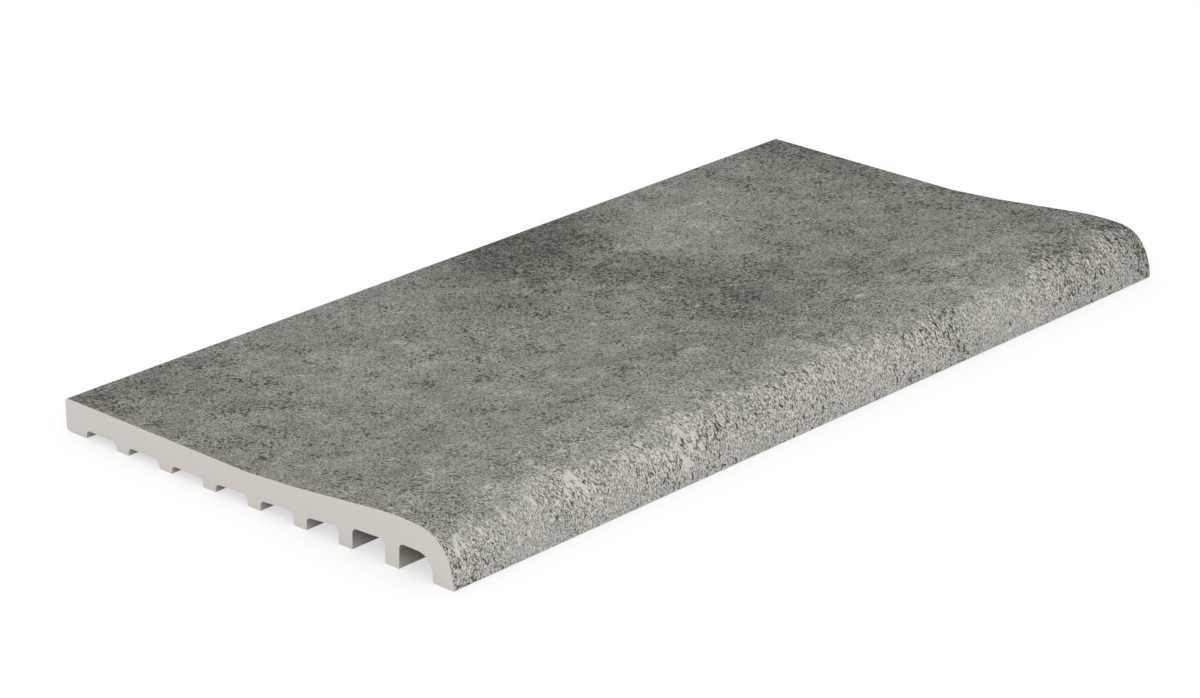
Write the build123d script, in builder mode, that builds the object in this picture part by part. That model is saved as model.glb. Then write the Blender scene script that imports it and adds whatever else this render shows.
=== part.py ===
from build123d import *
import os
from math import radians, tan

# Pool edge tile: one extruded stoneware piece with a flat walking face, a ramp up to a
# raised handgrip, a round nose towards the water and a ribbed underside for the mortar.
# The section lies in the YZ plane and runs along X. The nose faces -Y. The tile lies on
# the feet of its ribs at Z = 0, and the origin is at the middle of that foot plane.

# Overall sizes, in millimetres
length = 626.0
width = 314.0
back_thickness = 20.3

# Top outline: setbacks are measured from the nose face, rises from the flat walking face
ramp_start_setback = 159.3
ramp_start_radius = 20.0
knee_setback = 122.5
knee_rise = 2.5
knee_radius = 300.0
ramp_end_setback = 58.0
ramp_end_rise = 9.4
shoulder_setback = 15.3
shoulder_rise = 9.15
shoulder_radius = 22.0
nose_radius = 36.0
back_top_radius = 2.2
back_foot_radius = 3.0

# Ribs and grooves of the underside. The knee rib stands under the knee of the ramp, and
# the grooves are spread evenly between it and the back foot, and between it and the nose
back_foot_width = 17.7
nose_wall = 15.5
rib_width = 10.4
knee_rib_setback = 117.6
grooves_behind_knee_rib = 5
rib_draft = 1.5  # degrees on each side, so that a groove opens towards its mouth

# Groove depths from the foot plane, at the back side and at the nose side of each groove
flat_groove_depth = 5.05
flat_groove_count = 3
rising_groove_depths = [(5.1, 6.3), (6.35, 7.65), (7.7, 10.2), (12.75, 13.9)]
nose_hollow_depth = 15.25
root_radius = 3.2
nose_hollow_radius = 11.0
foot_edge_radius = 0.5
mouth_overcut = 1.0  # how far a groove's outline runs below the foot plane

nose_y = -width / 2
back_y = width / 2


def from_nose(setback):
    """Y of a point that lies this far behind the nose face."""
    return nose_y + setback


# Corners of the outline, as (Y, Z), before any of them is rounded
nose_foot = (nose_y, 0)
shoulder = (from_nose(shoulder_setback), back_thickness + shoulder_rise)
ramp_end = (from_nose(ramp_end_setback), back_thickness + ramp_end_rise)
knee = (from_nose(knee_setback), back_thickness + knee_rise)
ramp_start = (from_nose(ramp_start_setback), back_thickness)
back_top = (back_y, back_thickness)
back_foot = (back_y, 0)


def groove_spans():
    """(back Y, nose Y) of each groove's mouth, from the back foot to the nose wall."""
    groove_count = flat_groove_count + len(rising_groove_depths) + 1
    knee_rib_y = from_nose(knee_rib_setback)
    runs = [
        (back_y - back_foot_width, knee_rib_y + rib_width / 2, grooves_behind_knee_rib),
        (knee_rib_y - rib_width / 2, nose_y + nose_wall, groove_count - grooves_behind_knee_rib),
    ]
    spans = []
    for run_back, run_front, count in runs:
        pitch = (run_back - run_front + rib_width) / count
        for number in range(count):
            groove_back = run_back - number * pitch
            spans.append((groove_back, groove_back - pitch + rib_width))
    return spans


def groove_depths():
    """(back side, nose side) depth of each groove, in the same order."""
    flat = [(flat_groove_depth, flat_groove_depth)] * flat_groove_count
    hollow = [(nose_hollow_depth, nose_hollow_depth)]
    return flat + rising_groove_depths + hollow


with BuildPart() as edge_tile:
    with BuildSketch(Plane.YZ) as section:
        # Outer outline: nose arc, crest arc tangent to the ramp, ramp, flat face and back
        with BuildLine():
            RadiusArc(nose_foot, shoulder, nose_radius)
            ramp = FilletPolyline(
                back_top, ramp_start, knee, ramp_end, radius=[ramp_start_radius, knee_radius]
            )
            TangentArc(ramp_end, shoulder, tangent=ramp % 1)
            Polyline(back_top, back_foot, nose_foot)
        make_face()
        for corner, radius in (
            (shoulder, shoulder_radius),
            (back_top, back_top_radius),
            (back_foot, back_foot_radius),
        ):
            fillet(section.vertices().sort_by_distance(corner)[0], radius)

        # Grooves between the ribs, drafted and rounded at their roots
        spread = tan(radians(rib_draft))
        spans = groove_spans()
        for (groove_back, groove_front), (depth_back, depth_front) in zip(spans, groove_depths()):
            front_radius = nose_hollow_radius if groove_front == spans[-1][1] else root_radius
            with BuildLine():
                sides = FilletPolyline(
                    (groove_back + mouth_overcut * spread, -mouth_overcut),
                    (groove_back - depth_back * spread, depth_back),
                    (groove_front + depth_front * spread, depth_front),
                    (groove_front - mouth_overcut * spread, -mouth_overcut),
                    radius=[root_radius, front_radius],
                )
                Line(sides @ 1, sides @ 0)
            make_face(mode=Mode.SUBTRACT)

        # Feet: the sharp corners along the groove mouths and under the nose are eased
        mouth_corners = [(y, 0) for span in spans for y in span] + [nose_foot]
        for corner in mouth_corners:
            fillet(section.vertices().sort_by_distance(corner)[0], foot_edge_radius)
    extrude(amount=length / 2, both=True)

edge_tile.part.label = "edge_tile"
os.makedirs("parts", exist_ok=True)
export_step(edge_tile.part, "parts/edge_tile.step")

box = edge_tile.part.bounding_box()
print("size", box.size, "volume", round(edge_tile.part.volume), "faces", len(edge_tile.faces()))
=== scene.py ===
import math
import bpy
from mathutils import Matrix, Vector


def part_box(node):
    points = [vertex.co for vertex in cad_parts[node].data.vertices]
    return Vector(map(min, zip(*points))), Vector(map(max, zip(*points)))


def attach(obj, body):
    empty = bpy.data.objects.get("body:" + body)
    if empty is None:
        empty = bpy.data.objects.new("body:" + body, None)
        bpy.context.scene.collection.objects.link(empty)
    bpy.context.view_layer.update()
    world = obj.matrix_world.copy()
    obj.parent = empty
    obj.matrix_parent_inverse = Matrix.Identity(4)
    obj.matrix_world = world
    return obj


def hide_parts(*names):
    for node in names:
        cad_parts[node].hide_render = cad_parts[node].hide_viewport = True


bl_info = {
    "name": "Pool Edge Tile",
    "version": (1, 0, 0),
    "blender": (4, 5, 0),
    "location": "View3D > Sidebar > Edge Tile",
    "description": "Gives an extruded pool edge tile its fired finish and sets a plain stage for it",
    "category": "Object",
}

import bmesh
import bpy
from bpy.props import FloatProperty, FloatVectorProperty, IntProperty, PointerProperty
from mathutils import Euler, Vector, noise

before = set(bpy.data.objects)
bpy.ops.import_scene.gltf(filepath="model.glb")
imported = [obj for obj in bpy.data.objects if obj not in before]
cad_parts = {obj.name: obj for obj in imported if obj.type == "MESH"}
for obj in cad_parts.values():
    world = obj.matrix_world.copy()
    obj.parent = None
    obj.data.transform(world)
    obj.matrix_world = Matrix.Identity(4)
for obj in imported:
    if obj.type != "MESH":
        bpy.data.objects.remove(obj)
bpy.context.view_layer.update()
TILE_NODE = "edge_tile"
TILE_LOW, TILE_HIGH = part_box(TILE_NODE)

MERGE_DISTANCE = 1e-6
MM = 0.001


def srgb(red, green, blue):
    """Linear colour of three display values from 0 to 255."""
    def linear(value):
        share = value / 255
        return share / 12.92 if share <= 0.04045 else ((share + 0.055) / 1.055) ** 2.4

    return linear(red), linear(green), linear(blue)


# Settings that a user would change


class EdgeTileSurface(bpy.types.PropertyGroup):
    """Sizes of the fired surface, which the mesh and its finish share"""

    grid_step: FloatProperty(
        name="Grid Step", description="Spacing of the glazed face's mesh",
        default=1.6 * MM, min=0.8 * MM, max=20 * MM, unit="LENGTH", precision=4,
    )
    outline_smoothing: IntProperty(
        name="Outline Smoothing", description="Passes that even out the facets of the section's arcs",
        default=8, min=0, max=40,
    )
    relief_depth: FloatProperty(
        name="Relief Depth", description="Height of the glazed face's shallow stone relief",
        default=0.09 * MM, min=0.0, max=1 * MM, unit="LENGTH", precision=5,
    )
    relief_grain: FloatProperty(
        name="Relief Grain", description="Width of one hump of the relief",
        default=7 * MM, min=2 * MM, max=50 * MM, unit="LENGTH", precision=4,
    )
    relief_margin: FloatProperty(
        name="Relief Margin", description="Strip along the edges over which the relief fades out",
        default=5 * MM, min=0.1 * MM, max=50 * MM, unit="LENGTH", precision=4,
    )
    nose_print: FloatProperty(
        name="Nose Print", description="How far the nose's coarser, paler print reaches up",
        default=38 * MM, min=0.0, max=100 * MM, unit="LENGTH", precision=4,
    )
    nose_blend: FloatProperty(
        name="Nose Blend", description="Strip over which the nose's print passes into that of the top",
        default=16 * MM, min=0.1 * MM, max=50 * MM, unit="LENGTH", precision=4,
    )


class EdgeTileColours(bpy.types.PropertyGroup):
    """Colours of the glaze, the fired body and the underside"""

    glaze_shade: FloatVectorProperty(
        name="Glaze Shade", description="Darkest flecks of the glaze",
        default=srgb(57.5, 57, 48.5), min=0.0, max=1.0, size=3, subtype="COLOR",
    )
    glaze_base: FloatVectorProperty(
        name="Glaze Base", description="Main grey of the glaze",
        default=srgb(124.5, 124.5, 116), min=0.0, max=1.0, size=3, subtype="COLOR",
    )
    glaze_light: FloatVectorProperty(
        name="Glaze Light", description="Pale grey of the glaze where it runs thin",
        default=srgb(162.8, 163.6, 156), min=0.0, max=1.0, size=3, subtype="COLOR",
    )
    body: FloatVectorProperty(
        name="Body", description="Beige stoneware of the cut ends, which shows through the thinnest glaze",
        default=srgb(203, 198, 191), min=0.0, max=1.0, size=3, subtype="COLOR",
    )
    underside: FloatVectorProperty(
        name="Underside", description="Grey skin of the ribbed underside and the back",
        default=srgb(176, 174.5, 165.5), min=0.0, max=1.0, size=3, subtype="COLOR",
    )


class EdgeTileStage(bpy.types.PropertyGroup):
    """Camera, lights and floor"""

    camera_place: FloatVectorProperty(
        name="Camera Place", description="Where the camera stands",
        default=(-1.55178, -1.40998, 0.85086), size=3, subtype="TRANSLATION", unit="LENGTH",
    )
    camera_azimuth: FloatProperty(
        name="Camera Azimuth", description="Turn of the view about the vertical, 0 along +Y",
        default=math.radians(-47.152), subtype="ANGLE",
    )
    camera_elevation: FloatProperty(
        name="Camera Elevation", description="How steeply the camera looks down",
        default=math.radians(22.078), subtype="ANGLE",
    )
    camera_lens: FloatProperty(
        name="Lens", description="Focal length on a 36 mm wide sensor",
        default=112.137, min=10.0, unit="CAMERA",
    )
    sky_strength: FloatProperty(
        name="Sky Strength", description="Even light from all round",
        default=0.96, min=0.0, max=4.0,
    )
    lamp_power: FloatProperty(
        name="Lamp Power", description="Power of the softbox at the nose side",
        default=12.0, min=0.0, unit="POWER",
    )
    lamp_distance: FloatProperty(
        name="Lamp Distance", description="From the tile to the softbox",
        default=3.0, min=0.5, unit="LENGTH",
    )
    lamp_size: FloatProperty(
        name="Lamp Size", description="Side of the square softbox",
        default=1.6, min=0.05, unit="LENGTH",
    )
    lamp_azimuth: FloatProperty(
        name="Lamp Azimuth", description="Side that the softbox stands on, 0 in front of the nose",
        default=math.radians(-35.0), subtype="ANGLE",
    )
    lamp_elevation: FloatProperty(
        name="Lamp Elevation", description="Height of the softbox above the horizon",
        default=math.radians(28.0), subtype="ANGLE",
    )
    floor_radius: FloatProperty(
        name="Floor Radius", description="Half width of the round floor",
        default=6.0, min=1.0, unit="LENGTH",
    )
    floor_colour: FloatVectorProperty(
        name="Floor Colour", description="Pale floor",
        default=(0.98, 0.98, 0.98), min=0.0, max=1.0, size=3, subtype="COLOR",
    )
    floor_glow: FloatProperty(
        name="Floor Glow", description="Share of plain white in the seen floor, which softens the shadow",
        default=0.6, min=0.0, max=1.0, subtype="FACTOR",
    )


# Node building

# Turn of every layer of noise, in radians about the three axes
LAYER_TURN = (0.61, 0.47, 0.79)
FLECK_ROUGHNESS = 0.6


class NodeBench:
    """Adds linked nodes to one node tree."""

    column_width = 180

    def __init__(self, tree):
        self.tree = tree

    def add(self, kind, inputs=None, **settings):
        """A new node with these settings. An input's value is a socket to link or a constant."""
        node = self.tree.nodes.new(kind)
        node.location.x = self.column_width * len(self.tree.nodes)
        for name, value in settings.items():
            setattr(node, name, value)
        for key, value in (inputs or {}).items():
            self.feed(node.inputs[key], value)
        return node

    def feed(self, socket, value):
        """Links another socket to this one, or sets this one to a constant."""
        if isinstance(value, bpy.types.NodeSocket):
            self.tree.links.new(value, socket)
        else:
            socket.default_value = value

    def math(self, operation, *values):
        """Result of one math node."""
        node = self.add("ShaderNodeMath", dict(enumerate(values)), operation=operation)
        return node.outputs[0]

    def total(self, start, *layers):
        """start plus each layer, which is a pair of a value and its weight."""
        for value, weight in layers:
            start = self.math("MULTIPLY_ADD", value, weight, start)
        return start

    def remap(self, value, low, high, to_low=0.0, to_high=1.0):
        """value from low to high, eased into the range from to_low to to_high."""
        inputs = {"Value": value, "From Min": low, "From Max": high, "To Min": to_low, "To Max": to_high}
        node = self.add("ShaderNodeMapRange", inputs, interpolation_type="SMOOTHSTEP")
        return node.outputs["Result"]

    def blend(self, share, first, second):
        """first where the share is 0, second where it is 1, and a mix between them elsewhere."""
        inputs = {"Factor": share, "A": first, "B": second}
        return self.add("ShaderNodeMix", inputs, data_type="FLOAT").outputs["Result"]

    def layer(self, vector, offset=(0.0, 0.0, 0.0), scale=(1.0, 1.0, 1.0)):
        """vector scaled, turned askew so that noise shows no rows, and moved to a layer of its own."""
        inputs = {"Vector": vector, "Location": offset, "Rotation": LAYER_TURN, "Scale": scale}
        return self.add("ShaderNodeMapping", inputs).outputs["Vector"]

    def grain(self, vector, width, detail=2.0, roughness=0.5):
        """Noise about zero, from -0.5 to 0.5, with features about this wide in metres."""
        inputs = {"Vector": vector, "Scale": 1 / width, "Detail": detail, "Roughness": roughness}
        node = self.add("ShaderNodeTexNoise", inputs, noise_dimensions="3D")
        return self.math("SUBTRACT", node.outputs["Fac"], 0.5)

    def group(self, tree, inputs):
        """Output of a node group that is given these inputs."""
        return self.add("ShaderNodeGroup", inputs, node_tree=tree).outputs[0]


def empty_bench(owner):
    """A bench for the emptied node tree of a material or a world."""
    owner.use_nodes = True
    owner.node_tree.nodes.clear()
    return NodeBench(owner.node_tree)


def new_group(name, inputs, output):
    """A node group with one output; its inputs map names to socket types. Returns its bench and inputs."""
    tree = bpy.data.node_groups.new(name, "ShaderNodeTree")
    for label, kind in inputs.items():
        tree.interface.new_socket(label, in_out="INPUT", socket_type=kind)
    tree.interface.new_socket(output, in_out="OUTPUT", socket_type="NodeSocketFloat")
    bench = NodeBench(tree)
    return bench, bench.add("NodeGroupInput").outputs


def cloud_group():
    """One soft oval patch: its mask is 1 in the middle and fades to 0 at its rim."""
    bench, given = new_group(
        "soft_cloud",
        {"Place": "NodeSocketVector", "Centre": "NodeSocketVector", "Size": "NodeSocketVector",
         "Turn": "NodeSocketVector"},
        "Mask",
    )
    inputs = {"Vector": given["Place"], "Location": given["Centre"], "Rotation": given["Turn"],
              "Scale": given["Size"]}
    local = bench.add("ShaderNodeMapping", inputs, vector_type="TEXTURE")
    inputs = {"Vector": local.outputs["Vector"]}
    ball = bench.add("ShaderNodeTexGradient", inputs, gradient_type="SPHERICAL")
    mask = bench.remap(ball.outputs["Fac"], 0.0, 1.0)
    bench.add("NodeGroupOutput", {"Mask": mask})
    return bench.tree


def fleck_group():
    """Small separate flecks: the peaks of a fine noise above a level."""
    bench, given = new_group(
        "flecks",
        {"Place": "NodeSocketVector", "Density": "NodeSocketFloat", "Detail": "NodeSocketFloat",
         "Level": "NodeSocketFloat", "Softness": "NodeSocketFloat"},
        "Mask",
    )
    inputs = {"Vector": given["Place"], "Scale": given["Density"], "Detail": given["Detail"],
              "Roughness": FLECK_ROUGHNESS}
    peaks = bench.add("ShaderNodeTexNoise", inputs, noise_dimensions="3D")
    top = bench.math("ADD", given["Level"], given["Softness"])
    mask = bench.remap(peaks.outputs["Fac"], given["Level"], top)
    bench.add("NodeGroupOutput", {"Mask": mask})
    return bench.tree


def new_material(name, roughness, shine):
    """A material with one Principled shader; returns it, its bench and the shader."""
    material = bpy.data.materials.new(name)
    bench = empty_bench(material)
    shader = bench.add("ShaderNodeBsdfPrincipled", {"Roughness": roughness, "Specular IOR Level": shine})
    bench.add("ShaderNodeOutputMaterial", {"Surface": shader.outputs["BSDF"]})
    return material, bench, shader


def vary_roughness(bench, shader, layer, weight):
    """Adds a weighted layer to the shader's own roughness."""
    socket = shader.inputs["Roughness"]
    bench.feed(socket, bench.total(socket.default_value, (layer, weight)))


def add_bump(bench, shader, height, depth, strength):
    """Roughens the shader's normals by a height, which is this deep in metres where it is 1."""
    inputs = {"Height": height, "Distance": depth, "Strength": strength}
    bump = bench.add("ShaderNodeBump", inputs)
    bench.feed(shader.inputs["Normal"], bump.outputs["Normal"])


# Finishes

ARC_LAYER = "arc"

# Tones, from 0 to 1, of the glaze's colours and of the print's main areas
SHADE_TONE, BASE_TONE, LIGHT_TONE, BODY_TONE = 0.2, 0.5, 0.72, 0.88
TOP_TONE, NOSE_TONE, BARE_TONE = 0.525, 0.67, 0.9

# Places up the outline from the nose foot, between which the print changes
FOOT_END = 30 * MM
CREST_START, CREST_END = 42 * MM, 130 * MM
BACK_START, BACK_END = 240 * MM, 330 * MM

# Caps on the pale side of the top's grit and the nose's grain, which leave the dark side stronger
PALEST_GRIT = 0.09
PALEST_GRAIN = 0.12

# Level above which noise shows as a dark fleck: where there is no cloud, and the lowest in a dark one
FLECK_LEVEL = 0.61
LOWEST_FLECK_LEVEL = 0.52

# Soft clouds of the stone print, in millimetres: place along the length from the middle,
# place up the outline from the nose foot, half length, half width, turn in degrees and change of tone
CLOUDS = (
    # Dark ones, from the back edge down to the crest
    (46, 314, 114, 76, 0, -0.17),
    (5, 262, 95, 66, 0, -0.06),
    (62, 218, 58, 62, 0, -0.095),
    (88, 160, 90, 54, 0, -0.085),
    (45, 140, 85, 64, 20, -0.05),
    (150, 118, 45, 70, 0, -0.045),
    (-40, 228, 90, 64, 0, -0.035),
    (40, 98, 140, 60, 0, -0.04),
    (215, 230, 110, 190, 0, -0.05),
    (-280, 312, 85, 56, 0, -0.06),
    (-268, 254, 56, 38, 0, -0.05),
    (154, 214, 18, 18, 0, -0.06),
    (-294, 185, 10, 7, 0, -0.16),
    # Dark ones at the far end and on the nose
    (313, 318, 70, 90, 0, -0.07),
    (313, 190, 62, 270, 0, -0.065),
    (288, 85, 60, 62, 0, -0.06),
    (252, 32, 44, 46, 0, -0.11),
    (313, 22, 36, 40, 0, -0.28),
    (116, 16, 34, 36, 0, -0.045),
    # Pale ones on the top
    (148, 268, 105, 82, 0, 0.06),
    (-160, 243, 88, 72, 0, 0.03),
    (-105, 284, 22, 30, 0, 0.04),
    (-140, 214, 9, 15, 0, 0.08),
    (-103, 144, 9, 16, 0, 0.09),
    # Pale ones on the nose, which bare the body
    (-300, 22, 12, 12, 0, 0.14),
    (-258, 26, 55, 46, 0, 0.04),
    (-211, 25, 12, 13, 0, 0.075),
    (-154, 37, 34, 28, 0, 0.06),
    (-122, 27, 34, 30, 0, 0.06),
    (-150, 26, 130, 46, 0, 0.03),
    (20, 16, 110, 34, 0, 0.03),
    (178, 22, 46, 44, 0, 0.025),
    (286, 20, 26, 24, 0, 0.06),
)

# How far noise pushes the patches' rims about, and how wide each push is
RAGGED_REACH = 14 * MM
RAGGED_WIDTH = 28 * MM

# Stretch of the ramp where the grain is stronger, placed like the clouds: its value is the added strength
LIVELY_PATCHES = ((75, 118, 135, 112, 0, 0.38),)

# Calm stretches of the nose, in millimetres: place along the length, half length and share
# of the grain's strength that is lost there. They are high enough to cross the whole nose
CALM_STRETCHES = (
    (-254, 54, 0.38),
    (-182, 34, 0.28),
    (-72, 40, 0.16),
    (28, 75, 0.20),
    (168, 62, 0.30),
)
CALM_HEIGHT = 1000

# Place up the outline where the nose's print is drawn out to twice its length
PRINT_DOUBLED = 35 * MM

# Spans over which small breaks and long waves move the edge between the nose's print and the top's
EDGE_BREAK = 80 * MM
EDGE_WANDER = 50 * MM

# The underside's painted shade darkens the skin the higher it lies, as up the grooves' walls, and is full
# at this height; it fades out over this strip before the back
PAINTED_SHADE_HEIGHT = 9.5 * MM
PAINTED_SHADE_FADE = 4 * MM


def ragged_place(bench, place):
    """place pushed about by noise, which breaks up the rims of soft patches."""
    inputs = {"Vector": place, "Scale": 1 / RAGGED_WIDTH, "Detail": 3.0, "Roughness": 0.6}
    colour = bench.add("ShaderNodeTexNoise", inputs).outputs["Color"]
    inputs = {0: colour, 1: (0.5, 0.5, 0.5)}
    push = bench.add("ShaderNodeVectorMath", inputs, operation="SUBTRACT").outputs[0]
    inputs = {0: push, 1: (2 * RAGGED_REACH, 2 * RAGGED_REACH, 0.0), 2: place}
    return bench.add("ShaderNodeVectorMath", inputs, operation="MULTIPLY_ADD").outputs[0]


def soft_patches(bench, place, cloud_tree, patches):
    """Sum of soft oval patches, each given as a row of CLOUDS is."""
    total = 0.0
    for x, up, length, width, turn, value in patches:
        inputs = {
            "Place": place, "Centre": (x * MM, up * MM, 0.0), "Size": (length * MM, width * MM, 1.0),
            "Turn": (0.0, 0.0, math.radians(turn)),
        }
        total = bench.total(total, (bench.group(cloud_tree, inputs), value))
    return total


def flecks(bench, fleck_tree, place, width, detail, level, softness):
    """Mask of the flecks where noise about this wide rises above the level."""
    inputs = {"Place": place, "Density": 1 / width, "Detail": detail, "Level": level, "Softness": softness}
    return bench.group(fleck_tree, inputs)


def top_tone(bench, fleck_tree, place, arc, clouds, lively, stone, crowd):
    """Tone of the top: stone grain, grit, dark flecks and blots, and pale smears, most at the crest."""
    crest = bench.remap(arc, CREST_END, CREST_START)
    back = bench.remap(arc, BACK_START, BACK_END)
    grit = bench.grain(bench.layer(place, (7, 2, 0)), width=1.3 * MM, detail=1.0, roughness=0.7)
    grit = bench.math("MINIMUM", grit, PALEST_GRIT)
    grit = bench.math("MULTIPLY", grit, bench.total(1.25, (crest, 0.35), (lively, 1.0)))
    dark = flecks(
        bench, fleck_tree, bench.layer(place, (5, 5, 0)),
        width=2.5 * MM, detail=2.0, level=crowd, softness=0.06,
    )
    blot = flecks(
        bench, fleck_tree, bench.layer(place, (6, 3, 0)),
        width=6 * MM, detail=3.0, level=bench.math("ADD", crowd, 0.05), softness=0.10,
    )
    smear = flecks(
        bench, fleck_tree, bench.layer(place, (1, 9, 0)),
        width=15 * MM, detail=5.0, level=bench.total(0.58, (crest, -0.035)), softness=0.16,
    )
    return bench.total(
        TOP_TONE, (crest, 0.035), (back, -0.025), (clouds, 1.0), (stone, 0.6), (grit, 1.0),
        (dark, -0.32), (blot, -0.20), (smear, 0.14),
    )


def nose_tone(bench, fleck_tree, drawn, arc, clouds, calm, broken, crowd):
    """Tone of the nose: strong grain and dark flecks, bare body where the clouds are pale."""
    steady = bench.total(1.0, (calm, -1.0))
    rising = bench.remap(arc, 0.0, FOOT_END, 0.75, 1.05)
    patches = bench.grain(bench.layer(drawn, (3, 6, 0)), width=40 * MM, detail=1.0)
    strength = bench.math("MULTIPLY", steady, rising)
    strength = bench.math("MULTIPLY", strength, bench.total(2.35, (patches, -1.0)))
    grain = bench.layer(drawn, (2, 8, 0), scale=(1.0, 0.9, 1.0))
    grain = bench.grain(grain, width=0.95 * MM, detail=1.0, roughness=0.9)
    grain = bench.math("MULTIPLY", bench.math("MINIMUM", grain, PALEST_GRAIN), strength)
    bare = flecks(
        bench, fleck_tree, bench.layer(drawn, (8, 1, 0), scale=(1.0, 0.75, 1.0)),
        width=4.5 * MM, detail=5.0, level=bench.total(0.66, (clouds, -2.2)), softness=0.04,
    )
    pale = bench.math("MAXIMUM", clouds, 0.0)
    dark = flecks(
        bench, fleck_tree, bench.layer(drawn, (4, 4, 0), scale=(1.0, 0.8, 1.0)),
        width=2.3 * MM, detail=2.0, softness=0.06,
        level=bench.total(0.28, (crowd, 0.5), (calm, 0.25), (pale, -0.5)),
    )
    tone = bench.total(NOSE_TONE, (clouds, 0.5), (broken, 0.24), (grain, 1.0))
    tone = bench.blend(bench.math("MULTIPLY", bare, 0.8), tone, BARE_TONE)
    return bench.total(tone, (dark, -0.42))


def tone_colours(bench, tone, stops):
    """Colour of the tone, from a ramp whose stops are pairs of a tone and a colour."""
    ramp = bench.add("ShaderNodeValToRGB", {"Fac": tone})
    elements = ramp.color_ramp.elements
    while len(elements) < len(stops):
        elements.new(1.0)
    for element, (position, colour) in zip(elements, stops):
        element.position = position
        element.color = (*colour, 1.0)
    return ramp.outputs["Color"]


def glaze_finish(surface, colours, cloud_tree, fleck_tree):
    """Matt stone-look glaze: clouded grey on the top, coarser and paler over the nose."""
    material, bench, shader = new_material("stone_glaze", roughness=0.8, shine=0.25)
    position = bench.add("ShaderNodeTexCoord").outputs["Object"]
    along = bench.add("ShaderNodeSeparateXYZ", {0: position}).outputs["X"]
    arc = bench.add("ShaderNodeAttribute", attribute_name=ARC_LAYER).outputs["Fac"]
    place = bench.add("ShaderNodeCombineXYZ", {"X": along, "Y": arc}).outputs["Vector"]
    ragged = ragged_place(bench, place)
    clouds = soft_patches(bench, ragged, cloud_tree, CLOUDS)
    lively = soft_patches(bench, ragged, cloud_tree, LIVELY_PATCHES)
    stretches = [(x, 0, half, CALM_HEIGHT, 0, share) for x, half, share in CALM_STRETCHES]
    calm = soft_patches(bench, ragged, cloud_tree, stretches)
    stone = bench.grain(bench.layer(place), width=26 * MM, detail=4.0, roughness=0.9)

    # The flecks' level is low in the dark clouds, where they crowd
    mottle = bench.grain(bench.layer(place, (3, 1, 0)), width=22 * MM, detail=3.0, roughness=0.7)
    crowd = bench.total(FLECK_LEVEL, (clouds, 0.75), (mottle, 0.6))
    crowd = bench.math("MAXIMUM", crowd, LOWEST_FLECK_LEVEL)
    top = top_tone(bench, fleck_tree, place, arc, clouds, lively, stone, crowd)

    # The nose's print is drawn out more the higher it lies, and passes into the top's along a ragged edge
    reach = bench.math("LOGARITHM", bench.total(1.0, (arc, 1 / PRINT_DOUBLED)), math.e)
    reach = bench.math("MULTIPLY", reach, PRINT_DOUBLED)
    drawn = bench.add("ShaderNodeCombineXYZ", {"X": along, "Y": reach}).outputs["Vector"]
    broken = bench.grain(bench.layer(drawn), width=14 * MM, detail=3.0, roughness=0.8)
    nose = nose_tone(bench, fleck_tree, drawn, arc, clouds, calm, broken, crowd)
    wander = bench.grain(bench.layer(place, (9, 4, 0)), width=60 * MM)
    edge = bench.total(arc, (broken, EDGE_BREAK), (wander, EDGE_WANDER))
    low = surface.nose_print - surface.nose_blend / 2
    high = surface.nose_print + surface.nose_blend / 2
    tone = bench.blend(bench.remap(edge, low, high, 1.0, 0.0), top, nose)

    stops = (
        (SHADE_TONE, colours.glaze_shade),
        (BASE_TONE, colours.glaze_base),
        (LIGHT_TONE, colours.glaze_light),
        (BODY_TONE, colours.body),
    )
    bench.feed(shader.inputs["Base Color"], tone_colours(bench, tone, stops))
    vary_roughness(bench, shader, stone, 0.5)
    add_bump(bench, shader, tone, depth=0.5 * MM, strength=0.25)
    return material


def tint(bench, shader, colour, tone):
    """Feeds the shader this colour, darkened or lightened by the tone."""
    scaled = bench.add("ShaderNodeVectorMath", {0: colour, "Scale": tone}, operation="SCALE")
    bench.feed(shader.inputs["Base Color"], scaled.outputs[0])


def body_finish(colours, fleck_tree):
    """Bare fired stoneware of the cut ends: even beige with faint sandy specks."""
    material, bench, shader = new_material("fired_body", roughness=0.9, shine=0.2)
    place = bench.add("ShaderNodeTexCoord").outputs["Object"]
    sand = bench.grain(bench.layer(place), width=1.5 * MM, detail=3.0, roughness=0.7)
    specks = flecks(
        bench, fleck_tree, bench.layer(place, (2, 5, 0)),
        width=2 * MM, detail=1.0, level=0.66, softness=0.1,
    )
    tint(bench, shader, colours.body, bench.total(1.0, (sand, 0.06), (specks, -0.05)))
    vary_roughness(bench, shader, sand, 0.1)
    add_bump(bench, shader, sand, depth=0.2 * MM, strength=0.2)
    return material


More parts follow.
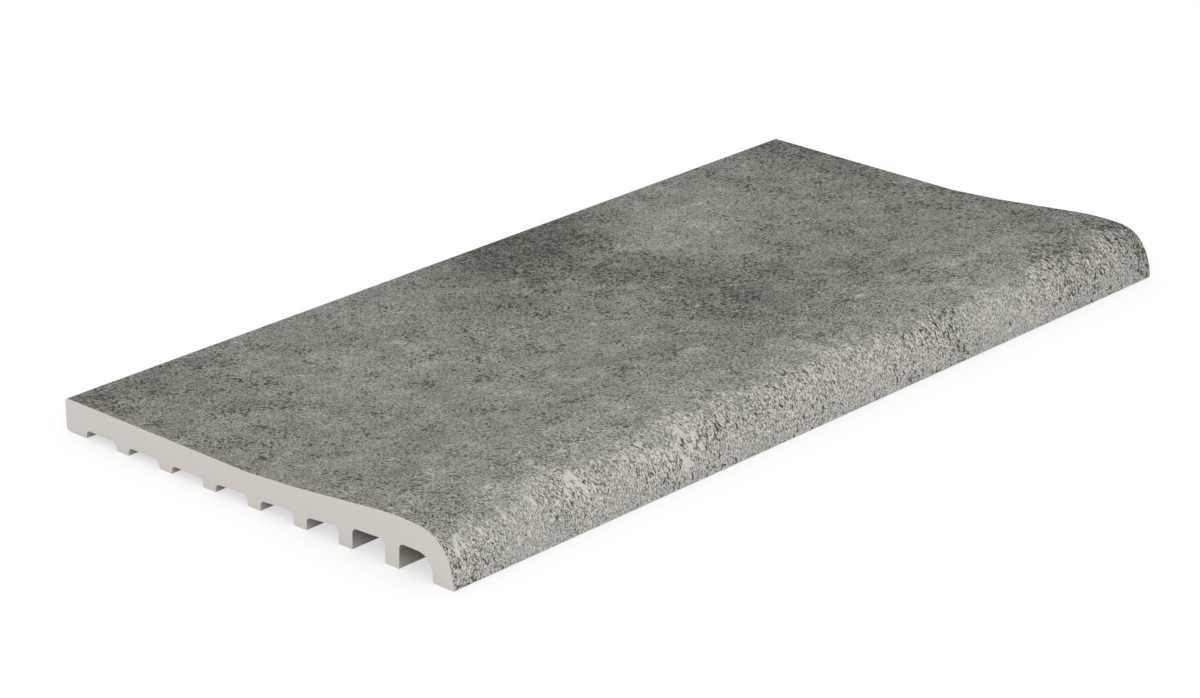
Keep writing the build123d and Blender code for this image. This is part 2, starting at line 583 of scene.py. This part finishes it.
def underside_finish(colours, fleck_tree):
    """Extruded skin of the ribs and the back: grey, dragged lengthwise, pitted, and darkened upwards in
    the grooves by painted shade.
    """
    material, bench, shader = new_material("extruded_skin", roughness=0.85, shine=0.2)
    place = bench.add("ShaderNodeTexCoord").outputs["Object"]
    axes = bench.add("ShaderNodeSeparateXYZ", {0: place}).outputs
    # Painted shade: darkens the skin more the higher it lies, as in the grooves' recesses, but not near
    # the back
    painted_shade = bench.remap(axes["Z"], 0.0, PAINTED_SHADE_HEIGHT, 0.0, 0.5)
    off_back = bench.remap(axes["Y"], TILE_HIGH.y - PAINTED_SHADE_FADE, TILE_HIGH.y, 1.0, 0.0)
    painted_shade = bench.math("MULTIPLY", painted_shade, off_back)
    drag = bench.layer(place, scale=(0.02, 1.0, 1.0))
    drag = bench.grain(drag, width=1.6 * MM, detail=4.0, roughness=0.7)
    mottle = bench.grain(bench.layer(place, (3, 1, 0)), width=30 * MM, detail=5.0, roughness=0.7)
    pits = flecks(
        bench, fleck_tree, bench.layer(place, (2, 5, 0), scale=(0.5, 1.0, 1.0)),
        width=2.2 * MM, detail=2.0, level=0.64, softness=0.06,
    )
    tone = bench.total(1.0, (painted_shade, -1.0), (drag, 0.40), (mottle, 0.30), (pits, -0.16))
    tint(bench, shader, colours.underside, tone)
    vary_roughness(bench, shader, drag, 0.15)
    add_bump(bench, shader, bench.total(drag, (pits, -0.6)), depth=0.3 * MM, strength=0.4)
    return material


# Tile mesh

GLAZE, BODY, SKIN = range(3)
SHARP_ANGLE = math.radians(35)

# Parts of a face's normal above which it counts as facing upwards, or as a cut end
LEAST_UPWARD = 0.01
LEAST_ENDWARD = 0.5

# Smoothness, spacing and number of the relief's layers of noise
RELIEF_LAYERS = (0.8, 2.0, 3)


def end_cap(bm, node):
    """The CAD solid's near end as one face, with nothing else left in the mesh."""
    bm.from_mesh(node.data)
    bmesh.ops.remove_doubles(bm, verts=bm.verts, dist=MERGE_DISTANCE)
    off_end = [f for f in bm.faces if any(v.co.x - TILE_LOW.x > MERGE_DISTANCE for v in f.verts)]
    bmesh.ops.delete(bm, geom=off_end, context="FACES")
    return bmesh.ops.dissolve_faces(bm, faces=bm.faces[:])["region"][0]


def glazed_loops(cap):
    """The cap's loops whose side of the outline faces upwards at all, from the nose foot to the back."""
    def upward(loop):
        side = loop.link_loop_next.vert.co - loop.vert.co
        return side.cross(cap.normal).normalized().z > LEAST_UPWARD

    chain = [loop for loop in cap.loops if upward(loop) and not upward(loop.link_loop_prev)]
    while upward(chain[-1].link_loop_next):
        chain.append(chain[-1].link_loop_next)
    return chain


def refine_outline(bm, cap, surface):
    """Divides the glazed side of the outline into short steps and evens out its arcs."""
    for edge in [loop.edge for loop in glazed_loops(cap)]:
        cuts = math.ceil(edge.calc_length() / surface.grid_step) - 1
        if cuts:
            bmesh.ops.subdivide_edges(bm, edges=[edge], cuts=cuts)
    inner = [loop.vert for loop in glazed_loops(cap)[1:]]
    for _ in range(surface.outline_smoothing):
        bmesh.ops.smooth_vert(bm, verts=inner, factor=0.5, use_axis_y=True, use_axis_z=True)


def mark_arc(bm, cap):
    """Writes each glazed vertex's distance up the outline from the nose foot; returns the whole length."""
    layer = bm.verts.layers.float.new(ARC_LAYER)
    travelled = 0.0
    for loop in glazed_loops(cap):
        loop.vert[layer] = travelled
        travelled += loop.edge.calc_length()
        loop.link_loop_next.vert[layer] = travelled
    return travelled


def draw_along(bm, cap, surface):
    """Draws the cap along the whole length, and divides the glazed side into short steps."""
    glazed = glazed_loops(cap)
    glazed_verts = [loop.vert for loop in glazed] + [glazed[-1].link_loop_next.vert]
    far = bmesh.ops.extrude_face_region(bm, geom=[cap], use_keep_orig=True)["geom"]
    far_verts = [part for part in far if isinstance(part, bmesh.types.BMVert)]
    bmesh.ops.translate(bm, verts=far_verts, vec=(TILE_HIGH.x - TILE_LOW.x, 0, 0))
    bmesh.ops.recalc_face_normals(bm, faces=bm.faces)
    lengthwise = [e for v in glazed_verts for e in v.link_edges if e.other_vert(v).co.x > v.co.x]
    cuts = round((TILE_HIGH.x - TILE_LOW.x) / surface.grid_step) - 1
    bmesh.ops.subdivide_edges(bm, edges=lengthwise, cuts=cuts, use_grid_fill=True)


def mark_finishes(bm):
    """Gives each face its finish: body on the cut ends, glaze on what faces upwards, skin on the rest."""
    bm.normal_update()
    for face in bm.faces:
        face.smooth = True
        if abs(face.normal.x) > LEAST_ENDWARD:
            face.material_index = BODY
        else:
            face.material_index = GLAZE if face.normal.z > LEAST_UPWARD else SKIN


def fade(distance, margin):
    """0 at the edge, easing to 1 once the distance reaches the margin."""
    share = min(max(distance / margin, 0.0), 1.0)
    return share * share * (3 - 2 * share)


def raise_relief(bm, arc_length, surface):
    """Moves the glazed face's vertices in and out by a shallow stone relief that fades at its edges."""
    layer = bm.verts.layers.float[ARC_LAYER]
    moves = []
    for vert in {v for f in bm.faces if f.material_index == GLAZE for v in f.verts}:
        arc = vert[layer]
        along = vert.co.x
        margin = fade(min(arc, arc_length - arc), surface.relief_margin)
        margin *= fade(min(along - TILE_LOW.x, TILE_HIGH.x - along), surface.relief_margin)
        place = Vector((along, arc, 0.0)) / surface.relief_grain
        height = margin * surface.relief_depth * noise.fractal(place, *RELIEF_LAYERS)
        moves.append((vert, vert.normal * height))
    for vert, move in moves:
        vert.co += move


class EDGETILE_OT_fired_tile(bpy.types.Operator):
    """Models the fired tile on the CAD solid's section and gives it its finishes"""

    bl_idname = "edge_tile.fired_tile"
    bl_label = "Fired Tile"

    def execute(self, context):
        surface = context.scene.edge_tile_surface
        colours = context.scene.edge_tile_colours
        bm = bmesh.new()
        cap = end_cap(bm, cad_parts[TILE_NODE])
        refine_outline(bm, cap, surface)
        arc_length = mark_arc(bm, cap)
        draw_along(bm, cap, surface)
        mark_finishes(bm)
        raise_relief(bm, arc_length, surface)
        if any(not e.is_manifold for e in bm.edges):
            raise RuntimeError("the tile's mesh is not closed")
        mesh = bpy.data.meshes.new("fired_tile")
        bm.to_mesh(mesh)
        bm.free()
        mesh.set_sharp_from_angle(angle=SHARP_ANGLE)

        fleck_tree = fleck_group()
        mesh.materials.append(glaze_finish(surface, colours, cloud_group(), fleck_tree))
        mesh.materials.append(body_finish(colours, fleck_tree))
        mesh.materials.append(underside_finish(colours, fleck_tree))
        tile = bpy.data.objects.new("fired_tile", mesh)
        context.scene.collection.objects.link(tile)
        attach(tile, "root")
        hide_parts(TILE_NODE)
        return {"FINISHED"}


# Stage

FLOOR_DROP = 0.2 * MM
FLOOR_SIDES = 96
SENSOR_WIDTH = 36.0
VIEW_REACH = 100.0
WHITE = (1.0, 1.0, 1.0, 1.0)

# A little over 1, which makes up for the lit floor that is mixed with it
FLOOR_WHITE = 1.03


def seen_directly(bench):
    """1 on rays from the camera, from mirrors and through glass, 0 on those that carry light."""
    rays = bench.add("ShaderNodeLightPath").outputs
    either = bench.math("MAXIMUM", rays["Is Camera Ray"], rays["Is Glossy Ray"])
    return bench.math("MAXIMUM", either, rays["Is Transmission Ray"])


def floor_finish(stage):
    """Pale floor that keeps the object's shadow, and is seen mostly as plain white."""
    material = bpy.data.materials.new("pale_floor")
    bench = empty_bench(material)
    matt = bench.add("ShaderNodeBsdfDiffuse", {"Color": (*stage.floor_colour, 1.0)})
    glow = bench.add("ShaderNodeEmission", {"Color": WHITE, "Strength": FLOOR_WHITE})
    seen = bench.math("MULTIPLY", seen_directly(bench), stage.floor_glow)
    mixed = bench.add("ShaderNodeMixShader", {0: seen, 1: matt.outputs[0], 2: glow.outputs[0]})
    bench.add("ShaderNodeOutputMaterial", {"Surface": mixed.outputs[0]})
    return material


def soft_sky(stage):
    """Even white light, seen as plain white behind the floor."""
    world = bpy.data.worlds.new("soft_sky")
    bench = empty_bench(world)
    strength = bench.blend(seen_directly(bench), stage.sky_strength, 1.0)
    sky = bench.add("ShaderNodeBackground", {"Color": WHITE, "Strength": strength})
    bench.add("ShaderNodeOutputWorld", {"Surface": sky.outputs[0]})
    return world


def lay_floor(scene, stage):
    """Round floor just under the tile's feet."""
    bm = bmesh.new()
    bmesh.ops.create_circle(bm, cap_ends=True, segments=FLOOR_SIDES, radius=stage.floor_radius)
    bmesh.ops.translate(bm, verts=bm.verts, vec=(0, 0, TILE_LOW.z - FLOOR_DROP))
    mesh = bpy.data.meshes.new("floor")
    bm.to_mesh(mesh)
    bm.free()
    mesh.materials.append(floor_finish(stage))
    floor = bpy.data.objects.new("floor", mesh)
    scene.collection.objects.link(floor)


def hang_softbox(scene, stage):
    """Square lamp that faces the tile."""
    lamp = bpy.data.lights.new("softbox", "AREA")
    lamp.energy = stage.lamp_power
    lamp.size = stage.lamp_size
    softbox = bpy.data.objects.new("softbox", lamp)
    turn = Euler((math.pi / 2 - stage.lamp_elevation, 0, stage.lamp_azimuth))
    softbox.rotation_euler = turn
    softbox.location = turn.to_matrix() @ Vector((0, 0, stage.lamp_distance))
    scene.collection.objects.link(softbox)


def set_camera(scene, stage):
    """Camera that looks down on the nose and the near end."""
    lens = bpy.data.cameras.new("camera")
    lens.lens = stage.camera_lens
    lens.sensor_fit = "HORIZONTAL"
    lens.sensor_width = SENSOR_WIDTH
    lens.clip_end = VIEW_REACH
    camera = bpy.data.objects.new("camera", lens)
    camera.location = stage.camera_place
    camera.rotation_euler = (math.pi / 2 - stage.camera_elevation, 0, stage.camera_azimuth)
    scene.collection.objects.link(camera)
    scene.camera = camera


class EDGETILE_OT_stage(bpy.types.Operator):
    """Sets the floor, the light and the camera"""

    bl_idname = "edge_tile.stage"
    bl_label = "Stage"

    def execute(self, context):
        scene = context.scene
        stage = scene.edge_tile_stage
        lay_floor(scene, stage)
        hang_softbox(scene, stage)
        scene.world = soft_sky(stage)
        set_camera(scene, stage)
        scene.view_settings.view_transform = "Standard"
        return {"FINISHED"}


class EDGETILE_PT_panel(bpy.types.Panel):
    """Lists the tile's steps and settings"""

    bl_idname = "EDGETILE_PT_panel"
    bl_label = "Edge Tile"
    bl_space_type = "VIEW_3D"
    bl_region_type = "UI"
    bl_category = "Edge Tile"

    def draw(self, context):
        for group, operator in SECTIONS:
            box = self.layout.box()
            settings = getattr(context.scene, group)
            for name in settings.__annotations__:
                box.prop(settings, name)
            if operator:
                box.operator(operator)


SECTIONS = (
    ("edge_tile_colours", None),
    ("edge_tile_surface", EDGETILE_OT_fired_tile.bl_idname),
    ("edge_tile_stage", EDGETILE_OT_stage.bl_idname),
)
CLASSES = (
    EdgeTileSurface, EdgeTileColours, EdgeTileStage,
    EDGETILE_OT_fired_tile, EDGETILE_OT_stage, EDGETILE_PT_panel,
)


def register():
    for cls in CLASSES:
        bpy.utils.register_class(cls)
    bpy.types.Scene.edge_tile_surface = PointerProperty(type=EdgeTileSurface)
    bpy.types.Scene.edge_tile_colours = PointerProperty(type=EdgeTileColours)
    bpy.types.Scene.edge_tile_stage = PointerProperty(type=EdgeTileStage)


def unregister():
    del bpy.types.Scene.edge_tile_stage
    del bpy.types.Scene.edge_tile_colours
    del bpy.types.Scene.edge_tile_surface
    for cls in reversed(CLASSES):
        bpy.utils.unregister_class(cls)


def main():
    """Registers the classes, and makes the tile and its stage."""
    register()
    bpy.ops.edge_tile.fired_tile()
    bpy.ops.edge_tile.stage()


if __name__ == "__main__":
    main()
